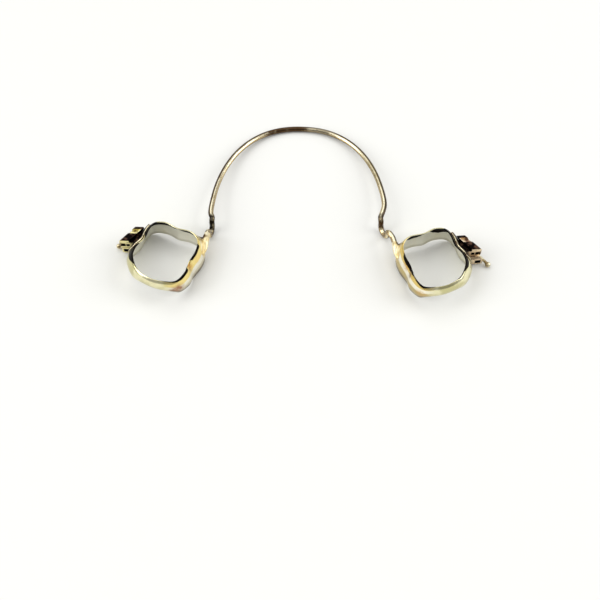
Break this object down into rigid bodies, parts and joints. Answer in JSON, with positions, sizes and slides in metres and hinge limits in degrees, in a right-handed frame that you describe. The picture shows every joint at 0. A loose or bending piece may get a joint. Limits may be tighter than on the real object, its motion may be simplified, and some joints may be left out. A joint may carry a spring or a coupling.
{
  "type": "lingual arch",
  "caption": "Fixed lower lingual arch: a round wire with an adjustment loop at each end, soldered to molar bands that carry buccal tubes and ball hooks.",
  "frame": {"origin": "centre of the bounding box's bottom face, on the plane that the bands' feet stand on", "axes": "+Z towards the biting side, +Y towards the front teeth, +X to the right in the picture"},
  "size_m": [0.0626, 0.036, 0.0046],
  "materials": {
    "wire_steel": "polished round wire with a straw heat tint",
    "band_steel": "polished thin strip with a straw to brown heat tint",
    "solder_metal": "smooth flowed solder, pale gold",
    "flange_steel": "satin, brown tarnish at its ends",
    "tube_steel": "polished cast or milled steel",
    "cap_steel": "polished thin plate",
    "hook_steel": "polished thin wire with a ball end"
  },
  "bodies": {
    "root": {"lingual_arch_wire": "wire_steel", "left_molar_band": "band_steel", "left_solder_joint": "solder_metal", "left_weld_flange": "flange_steel", "left_main_tube": "tube_steel", "left_slot_cap": "cap_steel", "left_auxiliary_tube": "tube_steel", "left_hook": "hook_steel", "right_molar_band": "band_steel", "right_solder_joint": "solder_metal", "right_weld_flange": "flange_steel", "right_main_tube": "tube_steel", "right_slot_cap": "cap_steel", "right_auxiliary_tube": "tube_steel", "right_hook": "hook_steel"}
  },
  "joints": []
}
